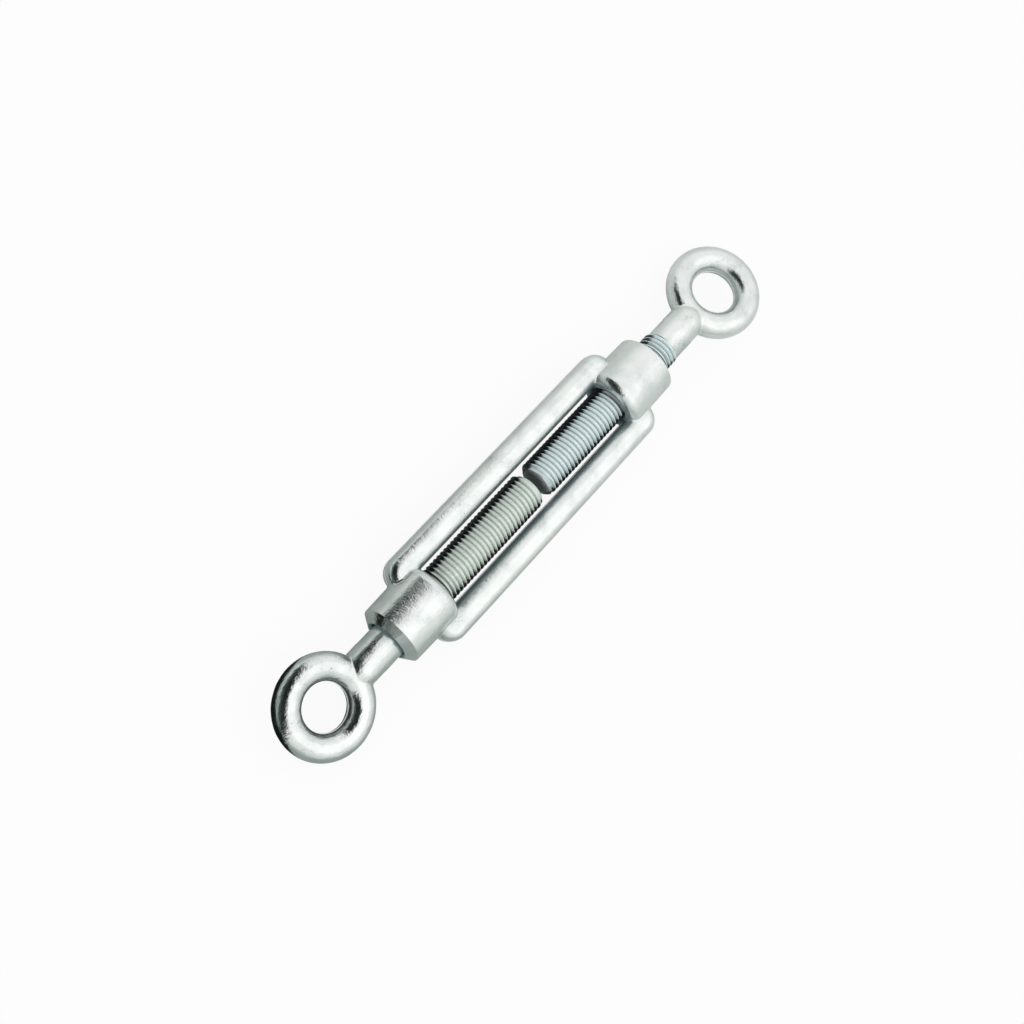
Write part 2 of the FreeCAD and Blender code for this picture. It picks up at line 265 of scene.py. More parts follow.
class Finishes(bpy.types.PropertyGroup):
    """Colours of the bright zinc plating, and of the shade painted onto it."""

    zinc_light: FloatVectorProperty(
        name="Zinc, light", description="Bright face of the zinc crystals", size=3, subtype="COLOR",
        default=linear("#E9ECEA")
    )
    zinc_shade: FloatVectorProperty(
        name="Zinc, shade", description="Duller face of the zinc crystals", size=3, subtype="COLOR",
        default=linear("#DCE1DF")
    )
    warm_tint: FloatVectorProperty(
        name="Left screw", description="Faint yellow green of the passivated left screw", size=3,
        subtype="COLOR", default=linear("#EFF7EC")
    )
    cool_tint: FloatVectorProperty(
        name="Right screw", description="Faint blue of the passivated right screw", size=3,
        subtype="COLOR", default=linear("#EEFCFF")
    )
    # Painted shade in the thread's roots: the colour turns to this darker one towards the root radius
    thread_painted_root: FloatVectorProperty(
        name="Thread root", description="Dull, greasy plating in the thread's roots", size=3,
        subtype="COLOR", default=linear("#D6E0DE")
    )
    trimmed: FloatVectorProperty(
        name="Trimmed flash", description="Bright zinc on the trimmed parting line", size=3, subtype="COLOR",
        default=linear("#FAFBFA")
    )
    # Painted shade, near black, on the thread where the frame stands close and on its sides beside the rails
    thread_painted_shade: FloatVectorProperty(
        name="Thread grime", description="Oily dust where the thread runs close to the frame", size=3,
        subtype="COLOR", default=linear("#141F20")
    )
    # Painted shade, teal grey, in the corners of the forgings where other surfaces stand close
    forging_painted_shade: FloatVectorProperty(
        name="Forging grime", description="Thin dust in the corners of the forgings", size=3, subtype="COLOR",
        default=linear("#6A8E92")
    )
    pit_colour: FloatVectorProperty(
        name="Pits", description="Dull grey in the pits of the forged skin", size=3, subtype="COLOR",
        default=linear("#56646A")
    )


class StageSettings(bpy.types.PropertyGroup):
    """Camera, floor and light."""

    camera_place: FloatVectorProperty(
        name="Camera place", description="Where the camera stands", size=3, subtype="TRANSLATION",
        default=(-0.32187, 0.13246, 0.72771)
    )
    camera_turn: FloatVectorProperty(
        name="Camera turn", description="How the camera is turned", size=3, subtype="EULER",
        default=(math.radians(9.3393), math.radians(-22.8433), math.radians(-46.7321))
    )
    lens: FloatProperty(
        name="Lens", description="Focal length in millimetres on a 36 mm frame", default=58.806
    )
    floor_radius: FloatProperty(
        name="Floor radius", description="How far the floor reaches", default=4, unit="LENGTH"
    )
    floor_steps: IntProperty(name="Floor steps", description="Divisions of the floor's edge", default=128)
    floor_gap: FloatProperty(
        name="Floor gap", description="Gap between the part and the floor", default=0.00005, unit="LENGTH"
    )
    floor_colour: FloatVectorProperty(
        name="Floor", description="White paper under the part", size=3, subtype="COLOR",
        default=linear("#F0F2F0")
    )
    floor_bright: FloatVectorProperty(
        name="Floor, window side", description="Its tone in the metal, beside the right-hand eye", size=3,
        subtype="COLOR", default=linear("#E4E8E6")
    )
    # Painted shade: the floor as the metal mirrors it is painted this darker tone beside the left-hand eye
    floor_painted_shade: FloatVectorProperty(
        name="Floor, camera side", description="Its tone in the metal, beside the left-hand eye", size=3,
        subtype="COLOR", default=linear("#A2ABA7")
    )
    floor_lift: FloatProperty(
        name="Floor, seen", description="How far towards white the camera sees the floor", default=0.92
    )
    floor_glint: FloatProperty(
        name="Floor, mirrored", description="How far towards white the metal mirrors the floor", default=0.05
    )
    wall_shade: FloatVectorProperty(
        name="Walls", description="The room at the horizon, as the metal mirrors it", size=3, subtype="COLOR",
        default=linear("#D2DAD6")
    )
    room_light: FloatProperty(
        name="Room light", description="Even light of the room on matt surfaces", default=0.8
    )
    softbox_power: FloatProperty(
        name="Softbox", description="Power of the lamp at the window in watts", default=1.2
    )
    lamp_place: FloatVectorProperty(
        name="Softbox place", description="Where the lamp hangs, turned to the part", size=3,
        default=(0.15, -0.5, 1.12), unit="LENGTH"
    )
    lamp_size: FloatVectorProperty(
        name="Softbox size", description="Length and width of the lamp", size=2, default=(1.5, 1.15),
        unit="LENGTH"
    )
    cloth_colour: FloatVectorProperty(
        name="Cloth", description="Dark cloth that the metal mirrors", size=3, subtype="COLOR",
        default=linear("#141C1A")
    )
    cloth_foot_colour: FloatVectorProperty(
        name="Cloth foot", description="Its paler foot, nearer the floor", size=3, subtype="COLOR",
        default=linear("#566E6A")
    )
    cloth_start: FloatVectorProperty(
        name="Cloth start", description="Foot of one side of the cloth", size=3, default=(0.1, 0.395, 0.1),
        unit="LENGTH"
    )
    cloth_end: FloatVectorProperty(
        name="Cloth end", description="Foot of its other side", size=3, default=(-0.61, -0.06, -0.0167),
        unit="LENGTH"
    )
    cloth_waist: FloatProperty(
        name="Cloth waist", description="Height where it begins to lean", default=0.28, unit="LENGTH"
    )
    cloth_top_start: FloatVectorProperty(
        name="Cloth top start", description="Upper corner of the first side", size=3,
        default=(-0.005, 0.15, 0.36), unit="LENGTH"
    )
    cloth_top_end: FloatVectorProperty(
        name="Cloth top end", description="Upper corner of the other side", size=3,
        default=(-0.46, -0.1, 0.36), unit="LENGTH"
    )
    tail_place: FloatVectorProperty(
        name="Cloth tail", description="Middle of the part of the cloth that lies on the floor", size=3,
        default=(-0.43, 0.065, -0.0162), unit="LENGTH"
    )
    tail_size: FloatVectorProperty(
        name="Tail size", description="Length and width of that part", size=2, default=(0.6, 0.15),
        unit="LENGTH"
    )


def settings():
    """The sizes and colours of this scene, as the sidebar shows them."""
    return bpy.context.scene.turnbuckle


def add_node(tree, kind, values=None, links=None, **properties):
    """Add one shader node with its properties, its constant sockets and its incoming links."""
    node = tree.nodes.new(kind)
    for name, value in properties.items():
        setattr(node, name, value)
    for socket, value in (values or {}).items():
        node.inputs[socket].default_value = value
    for socket, source in (links or {}).items():
        tree.links.new(source, node.inputs[socket])
    return node


def new_material(name):
    """A material with an empty node tree."""
    material = bpy.data.materials.new(name)
    material.use_nodes = True
    material.node_tree.nodes.clear()
    return material


def rgba(colour):
    """A colour as shader sockets take it."""
    return (*colour, 1.0)


def paint_crevice_shade(tree, colour, painted_shade_colour, reach, open_share, strength, side_shade_mask=None):
    """Paint shade into a colour where other surfaces stand closer than the reach, and more where the side
    shade mask marks a place. Returns the colour and the share of painted shade."""
    closeness = add_node(tree, "ShaderNodeAmbientOcclusion", {"Distance": reach}, samples=SHADE_SAMPLES)
    openness = closeness.outputs["AO"]
    if side_shade_mask:
        shaded_openness = add_node(
            tree, "ShaderNodeMath", {1: -SIDE_SHADE_EFFECT}, {0: side_shade_mask, 2: openness}, operation="MULTIPLY_ADD"
        )
        openness = shaded_openness.outputs["Value"]
    painted_shade_share = add_node(
        tree, "ShaderNodeMapRange",
        {"From Min": open_share[0], "From Max": open_share[1], "To Min": strength, "To Max": 0.0},
        {"Value": openness}
    )
    mixed = add_node(
        tree, "ShaderNodeMix", {7: rgba(painted_shade_colour)}, {0: painted_shade_share.outputs["Result"], 6: colour}, data_type="RGBA"
    )
    return mixed.outputs[2], painted_shade_share.outputs["Result"]


def zinc_on_forging(name, light, shade, pit, pit_share, painted_shade_colour):
    """Bright zinc plating over a forged and descaled steel skin: it shines through a soft, uneven blur,
    faintly clouded, and its fine grain breaks up the edge of every reflection. A few dull pits are left, and
    painted shade darkens its corners."""
    material = new_material(name)
    tree = material.node_tree
    place = add_node(tree, "ShaderNodeTexCoord").outputs["Object"]

    clouds, dents, grain, specks = (
        add_node(tree, "ShaderNodeTexNoise", {"Scale": 1 / width, "Detail": detail}, {"Vector": place})
        for width, detail in ((CLOUD_SIZE, 3.0), (DENT_SIZE, 2.0), (GRAIN_SIZE, 3.0), (SPECK_SIZE, 1.0))
    )
    tone = add_node(
        tree, "ShaderNodeMapRange", {"From Min": 0.38, "From Max": 0.66}, {"Value": clouds.outputs["Fac"]}
    )
    base = add_node(
        tree, "ShaderNodeMix", {6: rgba(light), 7: rgba(shade)}, {0: tone.outputs["Result"]},
        data_type="RGBA"
    )
    cluster = add_node(
        tree, "ShaderNodeMath", {}, {0: clouds.outputs["Fac"], 1: specks.outputs["Fac"]},
        operation="MULTIPLY"
    )
    pits = add_node(
        tree, "ShaderNodeMapRange",
        {"From Min": PIT_LEVEL - pit_share, "From Max": PIT_LEVEL + PIT_EDGE - pit_share, "To Max": 0.7},
        {"Value": cluster.outputs["Value"]}
    )
    coloured = add_node(
        tree, "ShaderNodeMix", {7: rgba(pit)}, {0: pits.outputs["Result"], 6: base.outputs[2]},
        data_type="RGBA"
    )
    # Painted shade where other surfaces stand close
    skin_colour, painted_shade_share = paint_crevice_shade(
        tree, coloured.outputs[2], painted_shade_colour, reach=0.02, open_share=(0.35, 0.9), strength=0.85
    )
    # The metal shines less under the painted shade
    metal = add_node(tree, "ShaderNodeMath", {1: -SHADE_COVER, 2: 1.0}, {0: painted_shade_share}, operation="MULTIPLY_ADD")
    blur = add_node(
        tree, "ShaderNodeMapRange", {"From Min": 0.35, "From Max": 0.65, "To Min": 0.13, "To Max": 0.24},
        {"Value": clouds.outputs["Fac"]}
    )
    swell = add_node(
        tree, "ShaderNodeBump", {"Strength": 0.35, "Distance": 0.0003}, {"Height": dents.outputs["Fac"]}
    )
    skin = add_node(
        tree, "ShaderNodeBump", {"Strength": 0.8, "Distance": 0.00014},
        {"Height": grain.outputs["Fac"], "Normal": swell.outputs["Normal"]}
    )
    shader = add_node(
        tree, "ShaderNodeBsdfPrincipled", {},
        {"Base Color": skin_colour, "Metallic": metal.outputs["Value"], "Roughness": blur.outputs["Result"],
         "Normal": skin.outputs["Normal"]}
    )
    add_node(tree, "ShaderNodeOutputMaterial", {}, {"Surface": shader.outputs["BSDF"]})
    return material


def zinc_on_thread(name, tint, root, painted_shade_colour, crest_radius, root_radius):
    """Dull zinc plating over a rolled thread, tinted, with a film of dry grease that softens its lines.
    Painted shade darkens its roots, its crevices and its sides beside the rails.
    """
    material = new_material(name)
    tree = material.node_tree
    place = add_node(tree, "ShaderNodeTexCoord").outputs["Object"]
    patches = add_node(
        tree, "ShaderNodeTexNoise", {"Scale": 1 / PATCH_SIZE, "Detail": 4.0}, {"Vector": place}
    )
    across = add_node(tree, "ShaderNodeVectorMath", {1: (0, 1, 1)}, {0: place}, operation="MULTIPLY")
    radius = add_node(tree, "ShaderNodeVectorMath", {}, {0: across.outputs["Vector"]}, operation="LENGTH")
    # Painted shade in the roots: darker from the crest down to the root radius
    rise = add_node(
        tree, "ShaderNodeMapRange", {"From Min": root_radius, "From Max": crest_radius - CREST_DEPTH},
        {"Value": radius.outputs["Value"]}
    )
    base = add_node(
        tree, "ShaderNodeMix", {6: rgba(root), 7: rgba(tint)}, {0: rise.outputs["Result"]},
        data_type="RGBA"
    )
    # The sides beside the rails, by their distance from the screw's middle plane, get more painted shade
    away = add_node(tree, "ShaderNodeSeparateXYZ", {}, {"Vector": place})
    side = add_node(tree, "ShaderNodeMath", {}, {0: away.outputs["Y"]}, operation="ABSOLUTE")
    flank = add_node(
        tree, "ShaderNodeMapRange",
        {"From Min": crest_radius * FLANK_START, "From Max": crest_radius * FLANK_END},
        {"Value": side.outputs["Value"]}, interpolation_type="SMOOTHSTEP"
    )
    # Painted shade where other surfaces stand close, more on those sides
    thread_colour = paint_crevice_shade(
        tree, base.outputs[2], painted_shade_colour, reach=0.014, open_share=(0.25, 0.5), strength=0.98,
        side_shade_mask=flank.outputs["Result"]
    )[0]
    blur = add_node(
        tree, "ShaderNodeMapRange", {"From Min": 0.3, "From Max": 0.7, "To Min": 0.16, "To Max": 0.32},
        {"Value": patches.outputs["Fac"]}
    )
    shader = add_node(
        tree, "ShaderNodeBsdfPrincipled", {"Metallic": 0.45},
        {"Base Color": thread_colour, "Roughness": blur.outputs["Result"]}
    )
    add_node(tree, "ShaderNodeOutputMaterial", {}, {"Surface": shader.outputs["BSDF"]})
    return material


def trimmed_steel(name, colour):
    """The parting line where the forging's flash was sheared off before plating: the torn edge scatters the
    light, so it stays bright where the smooth skin beside it mirrors something dark."""
    material = new_material(name)
    shader = add_node(
        material.node_tree, "ShaderNodeBsdfPrincipled",
        {"Metallic": 0.4, "Base Color": rgba(colour), "Roughness": 0.5}
    )
    add_node(material.node_tree, "ShaderNodeOutputMaterial", {}, {"Surface": shader.outputs["BSDF"]})
    return material


def bisect(bm, place, direction, clear_outer=False, clear_inner=False):
    """Cut a whole bmesh by a plane, and drop what lies on a cleared side."""
    return bmesh.ops.bisect_plane(
        bm, geom=bm.verts[:] + bm.edges[:] + bm.faces[:], dist=CUT_SNAP, plane_co=place, plane_no=direction,
        clear_outer=clear_outer, clear_inner=clear_inner
    )


def mark_sharp_edges(bm, angle):
    """Shade a bmesh smooth but for its open edges and those sharper than the angle."""
    for face in bm.faces:
        face.smooth = True
    for edge in bm.edges:
        edge.smooth = len(edge.link_faces) != 2 or edge.calc_face_angle() < angle


def new_piece(bm, name, materials):
    """Turn a finished bmesh into an object of the scene."""
    mesh = bpy.data.meshes.new(name)
    bm.to_mesh(mesh)
    bm.free()
    for material in materials:
        mesh.materials.append(material)
    piece = bpy.data.objects.new(name, mesh)
    bpy.context.scene.collection.objects.link(piece)
    return piece


def make_piece(bm, name, materials, body):
    """Turn a finished bmesh into a piece of the part that rides on a body."""
    piece = new_piece(bm, name, materials)
    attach(piece, body)
    return piece


def forged_ring(bm, eye):
    """The ring: a round section with a trimmed land inside, swept round the eye's own axis."""
    wire = eye.wire_diameter / 2
    land_angle = math.asin(eye.land / 2 / wire)
    centre = Vector((eye.hole_diameter / 2 + wire * math.cos(land_angle), 0, 0))
    first = bm.verts.new(centre + wire * Vector((-math.cos(land_angle), 0, eye.land / 2 / wire)))
    section = bmesh.ops.spin(
        bm, geom=[first], cent=centre, axis=(0, 1, 0), angle=2 * math.pi - 2 * land_angle,
        steps=eye.section_steps, use_merge=False
    )
    last = [item for item in section["geom_last"] if isinstance(item, bmesh.types.BMVert)][0]
    bm.edges.new((last, first))
    bmesh.ops.spin(
        bm, geom=bm.verts[:] + bm.edges[:], cent=(0, 0, 0), axis=(0, 0, 1), angle=2 * math.pi,
        steps=eye.ring_steps, use_merge=True
    )


def shank_stub(eye, length):
    """The plain shank with its rounded nose inside the ring, closed at both ends."""
    bm = bmesh.new()
    radius = eye.shank_diameter / 2
    start = eye.hole_diameter / 2 + eye.wire_diameter
    nose_radius = (eye.nose_length ** 2 + radius ** 2) / (2 * radius)
    middle = Vector((start, 0, radius - nose_radius))
    sweep = math.asin(eye.nose_length / nose_radius)
    edge = bm.verts.new((start, 0, radius))
    shoulder = bm.verts.new((length, 0, radius))
    back = bm.verts.new((length, 0, 0))
    bm.edges.new((back, shoulder))
    bm.edges.new((shoulder, edge))
    bmesh.ops.spin(
        bm, geom=[edge], cent=middle, axis=(0, 1, 0), angle=-sweep, steps=eye.nose_steps, use_merge=False
    )
    bmesh.ops.spin(
        bm, geom=bm.verts[:] + bm.edges[:], cent=(0, 0, 0), axis=(1, 0, 0), angle=2 * math.pi,
        steps=eye.shank_steps, use_merge=True
    )
    bmesh.ops.remove_doubles(bm, verts=bm.verts[:], dist=WELD)
    bmesh.ops.recalc_face_normals(bm, faces=bm.faces[:])
    return bm


def forged_eye(eye, cut):
    """Ring and shank grown into one forging with a soft neck, open at the shank where the cut is."""
    bm = bmesh.new()
    forged_ring(bm, eye)
    bmesh.ops.remove_doubles(bm, verts=bm.verts[:], dist=WELD)
    bmesh.ops.recalc_face_normals(bm, faces=bm.faces[:])
    rough = bpy.data.meshes.new("rough_eye")
    stub = shank_stub(eye, cut + SHANK_SPARE)
    stub.to_mesh(rough)
    stub.free()
    bm.from_mesh(rough)
    bm.to_mesh(rough)
    bm.free()
    holder = bpy.data.objects.new("rough_eye", rough)
    bpy.context.scene.collection.objects.link(holder)
    remesh = holder.modifiers.new("Skin", "REMESH")
    remesh.mode = "VOXEL"
    remesh.voxel_size = eye.grain
    depsgraph = bpy.context.evaluated_depsgraph_get()
    skin = bpy.data.meshes.new_from_object(holder.evaluated_get(depsgraph))
    bpy.data.objects.remove(holder)
    bpy.data.meshes.remove(rough)
    forged = bmesh.new()
    forged.from_mesh(skin)
    bpy.data.meshes.remove(skin)
    for _ in range(eye.smoothing):
        bmesh.ops.smooth_vert(
            forged, verts=forged.verts[:], factor=0.5, use_axis_x=True, use_axis_y=True, use_axis_z=True
        )
    bisect(forged, (cut, 0, 0), (1, 0, 0), clear_outer=True)
    return forged


def rolled_screw(screw, eye, hand):
    """The threaded end, from the run-out at the shank to the chamfered end. Hand is 1 for a right-hand
    thread and -1 for a left-hand one."""
    bm = bmesh.new()
    pitch = screw.pitch
    crest = screw.crest_diameter / 2
    root = screw.root_diameter / 2
    shank = eye.shank_diameter / 2
    start = eye.bolt_length - screw.length
    flank = (pitch - screw.crest_flat - screw.root_flat) / 2
    top = screw.root_flat / 2 + flank
    profile = (
        (0, root),
        (screw.root_flat / 2, root + screw.root_round),
        (top, crest - screw.crest_round),
        (top + screw.crest_flat * CREST_SHOULDER, crest),
        (top + screw.crest_flat * (1 - CREST_SHOULDER), crest),
        (top + screw.crest_flat, crest - screw.crest_round),
        (pitch - screw.root_flat / 2, root + screw.root_round),
        (pitch, root),
    )
    first = start - SPARE_TURNS * pitch
    corners = [bm.verts.new((first + along, 0, radius)) for along, radius in profile]
    for here, there in zip(corners, corners[1:]):
        bm.edges.new((here, there))
    bmesh.ops.spin(
        bm, geom=bm.verts[:] + bm.edges[:], cent=(0, 0, 0), axis=(1, 0, 0), angle=hand * 2 * math.pi,
        dvec=(pitch / screw.steps, 0, 0), steps=screw.steps, use_merge=False
    )
    one_turn = bm.verts[:] + bm.edges[:] + bm.faces[:]
    for turn in range(1, math.ceil(screw.length / pitch) + SPARE_TURNS + 1):
        copied = bmesh.ops.duplicate(bm, geom=one_turn)
        moved = [item for item in copied["geom"] if isinstance(item, bmesh.types.BMVert)]
        bmesh.ops.translate(bm, verts=moved, vec=(turn * pitch, 0, 0))
    bmesh.ops.remove_doubles(bm, verts=bm.verts[:], dist=THREAD_WELD)
    for vert in bm.verts:
        radius = math.hypot(vert.co.y, vert.co.z)
        fade = min(max((vert.co.x - start) / (screw.runout_turns * pitch), 0), 1)
        fade = fade * fade * (3 - 2 * fade)
        wanted = shank + (radius - shank) * fade
        wanted = min(wanted, crest - screw.end_chamfer + eye.bolt_length - vert.co.x)
        vert.co.y *= wanted / radius
        vert.co.z *= wanted / radius
    bisect(bm, (start, 0, 0), (1, 0, 0), clear_inner=True)
    cut = bisect(bm, (eye.bolt_length, 0, 0), (1, 0, 0), clear_outer=True)
    rim = [item for item in cut["geom_cut"] if isinstance(item, bmesh.types.BMEdge)]
    bmesh.ops.contextual_create(bm, geom=rim)
    bmesh.ops.recalc_face_normals(bm, faces=bm.faces[:])
    return bm


def new_loop(bm, corners):
    """A closed section of a flash line, ready to be spun or drawn out."""
    verts = [bm.verts.new(corner) for corner in corners]
    return [bm.edges.new(pair) for pair in zip(verts, verts[1:] + verts[:1])]


def draw_out(bm, loop, length):
    """Draw a section out along the screw axis and return its far end."""
    drawn = bmesh.ops.extrude_edge_only(bm, edges=loop)
    moved = [item for item in drawn["geom"] if isinstance(item, bmesh.types.BMVert)]
    bmesh.ops.translate(bm, verts=moved, vec=(length, 0, 0))
    edges = [item for item in drawn["geom"] if isinstance(item, bmesh.types.BMEdge)]
    return [edge for edge in edges if set(edge.verts) <= set(moved)]


def turn_corner(bm, loop, centre, angle, steps):
    """Carry a section round a shoulder of the frame and return its far end."""
    verts = list({vert for edge in loop for vert in edge.verts})
    turned = bmesh.ops.spin(
        bm, geom=verts + loop, cent=centre, axis=(0, 0, 1), angle=angle, steps=steps, use_merge=False
    )
    return [item for item in turned["geom_last"] if isinstance(item, bmesh.types.BMEdge)]


def frame_flash(flash):
    """The trimmed parting line at mid height, along the outside of each rail and inside the window."""
    bm = bmesh.new()
    wide = flash.height / 2
    narrow = wide * FLASH_TAPER
    reach = flash.outline_length / 2 - flash.outline_corner
    for side in (-1, 1):
        shoulder = side * (flash.outline_width / 2 - flash.outline_corner)
        skin = -flash.outline_length / 2
        outline = new_loop(bm, (
            (skin + flash.depth, shoulder, -wide), (skin - flash.outer_rise, shoulder, -narrow),
            (skin - flash.outer_rise, shoulder, narrow), (skin + flash.depth, shoulder, wide)
        ))
        quarter = -side * math.pi / 2
        loop = turn_corner(bm, outline, (-reach, shoulder, 0), quarter, flash.corner_steps)
        loop = draw_out(bm, loop, 2 * reach)
        turn_corner(bm, loop, (reach, shoulder, 0), quarter, flash.corner_steps)
        deep = side * (flash.window_width / 2 + flash.depth)
        proud = side * (flash.window_width / 2 - flash.inner_rise)
        start = -flash.window_length / 2
        section = new_loop(bm, (
            (start, deep, -wide), (start, proud, -narrow), (start, proud, narrow), (start, deep, wide)
        ))
        draw_out(bm, section, flash.window_length)
    bmesh.ops.holes_fill(bm, edges=[edge for edge in bm.edges if edge.is_boundary])
    bmesh.ops.recalc_face_normals(bm, faces=bm.faces[:])
    bmesh.ops.translate(bm, verts=bm.verts[:], vec=(flash.frame_middle, 0, 0))
    mark_sharp_edges(bm, FLASH_CREASE)
    return bm


def eye_flash(eye, flash):
    """The trimmed parting line that runs round the inside of the ring."""
    bm = bmesh.new()
    hole = eye.hole_diameter / 2
    wide = flash.eye_height / 2
    narrow = wide * FLASH_TAPER
    new_loop(bm, (
        (hole + flash.depth, 0, -wide), (hole - flash.eye_rise, 0, -narrow),
        (hole - flash.eye_rise, 0, narrow), (hole + flash.depth, 0, wide)
    ))
    bmesh.ops.spin(
        bm, geom=bm.verts[:] + bm.edges[:], cent=(0, 0, 0), axis=(0, 0, 1), angle=2 * math.pi,
        steps=flash.eye_steps, use_merge=True
    )
    bmesh.ops.recalc_face_normals(bm, faces=bm.faces[:])
    mark_sharp_edges(bm, FLASH_CREASE)
    return bm


def open_loop(bm, place):
    """The open edges of a bmesh that lie at one place along the screw axis."""
    return [
        edge for edge in bm.edges
        if edge.is_boundary and all(abs(vert.co.x - place) < AT_PLACE for vert in edge.verts)
    ]


def eye_bolt(name, node, body, hand, place, materials):
    """One whole eye bolt in the part's frame, in place of its CAD node."""
    sizes = settings()
    screw, eye = sizes.screw, sizes.eye
    start = eye.bolt_length - screw.length
    cut = eye.hole_diameter / 2 + eye.wire_diameter + eye.neck_length
    bm = forged_eye(eye, cut)
    for vert in bm.verts:
        rise = noise.fractal(vert.co * SKIN_WAVES + Vector((hand * SKIN_SHIFT, 0, 0)), *SKIN_NOISE)
        ease = min(max((cut - SKIN_MARGIN - vert.co.x) / SKIN_FADE, 0), 1)
        vert.co += vert.normal * (rise - SKIN_MEAN) * eye.waviness * ease
    threaded = rolled_screw(screw, eye, hand)
    thread_start = start + screw.runout_turns * screw.pitch / 2
    for face in threaded.faces:
        face.material_index = 1 if face.calc_center_median().x > thread_start else 0
    back = bmesh.ops.extrude_edge_only(threaded, edges=open_loop(threaded, start))
    moved = [item for item in back["geom"] if isinstance(item, bmesh.types.BMVert)]
    bmesh.ops.translate(threaded, verts=moved, vec=(cut + JOIN_GAP - start, 0, 0))
    for item in back["geom"]:
        if isinstance(item, bmesh.types.BMFace):
            item.material_index = 0
    thread_mesh = bpy.data.meshes.new("screw")
    threaded.to_mesh(thread_mesh)
    threaded.free()
    bm.from_mesh(thread_mesh)
    bpy.data.meshes.remove(thread_mesh)
    bmesh.ops.bridge_loops(bm, edges=open_loop(bm, cut) + open_loop(bm, cut + JOIN_GAP))
    bmesh.ops.recalc_face_normals(bm, faces=bm.faces[:])
    mark_sharp_edges(bm, THREAD_CREASE)
    bmesh.ops.transform(bm, matrix=place, verts=bm.verts[:])
    piece = make_piece(bm, name, materials, body)
    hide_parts(node)


class TURNBUCKLE_OT_frame(bpy.types.Operator):
    """Give the forged frame its zinc plated skin"""

    bl_idname = "turnbuckle.frame"
    bl_label = "Forged frame"

    def execute(self, context):
        colours = settings().finish
        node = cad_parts["turnbuckle_body"]
        material = zinc_on_forging(
            "bright_zinc_on_drop_forging", colours.zinc_light, colours.zinc_shade, colours.pit_colour, 0.0,
            colours.forging_painted_shade
        )
        node.data.materials.clear()
        node.data.materials.append(material)
        flash = trimmed_steel("trimmed_frame_flash", colours.trimmed)
        line = frame_flash(settings().flash)
        make_piece(line, "frame_flash_line", (flash,), "frame")
        return {"FINISHED"}


class TURNBUCKLE_OT_bolts(bpy.types.Operator):
    """Make the left-hand and the right-hand eye bolt with their rolled threads"""

    bl_idname = "turnbuckle.bolts"
    bl_label = "Eye bolts"

    def execute(self, context):
        sizes = settings()
        colours = sizes.finish
        forging = zinc_on_forging(
            "bright_zinc_on_forged_eye", colours.zinc_light, colours.zinc_shade, colours.pit_colour, 0.02,
            colours.forging_painted_shade
        )
        radii = (sizes.screw.crest_diameter / 2, sizes.screw.root_diameter / 2)
        # Root colour and near-black colour of the painted shade on both threads
        thread_painted_colours = (colours.thread_painted_root, colours.thread_painted_shade, *radii)
        warm = zinc_on_thread("zinc_on_left_hand_thread", colours.warm_tint, *thread_painted_colours)
        cool = zinc_on_thread("zinc_on_right_hand_thread", colours.cool_tint, *thread_painted_colours)
        flash = trimmed_steel("trimmed_eye_flash", colours.trimmed)
        left = Matrix.Translation((-sizes.eye.reach, 0, 0)) @ Matrix.Rotation(sizes.eye.left_roll, 4, "X")
        right = (
            Matrix.Translation((sizes.eye.reach, 0, 0))
            @ Matrix.Rotation(sizes.eye.right_roll, 4, "X")
            @ Matrix.Rotation(math.pi, 4, "Z")
        )
        eye_bolt("left_hand_eye", "left_hand_eye_bolt", "left_bolt", -1, left, (forging, warm))
        eye_bolt("right_hand_eye", "right_hand_eye_bolt", "right_bolt", 1, right, (forging, cool))
        for name, body, place in (
            ("left_eye_flash_line", "left_bolt", left), ("right_eye_flash_line", "right_bolt", right)
        ):
            bm = eye_flash(sizes.eye, sizes.flash)
            bmesh.ops.transform(bm, matrix=place, verts=bm.verts[:])
            make_piece(bm, name, (flash,), body)
        return {"FINISHED"}


def stage_piece(bm, name, material):
    """Turn a finished bmesh into a piece of the set, which isn't part of the object."""
    piece = new_piece(bm, name, (material,))
    return piece


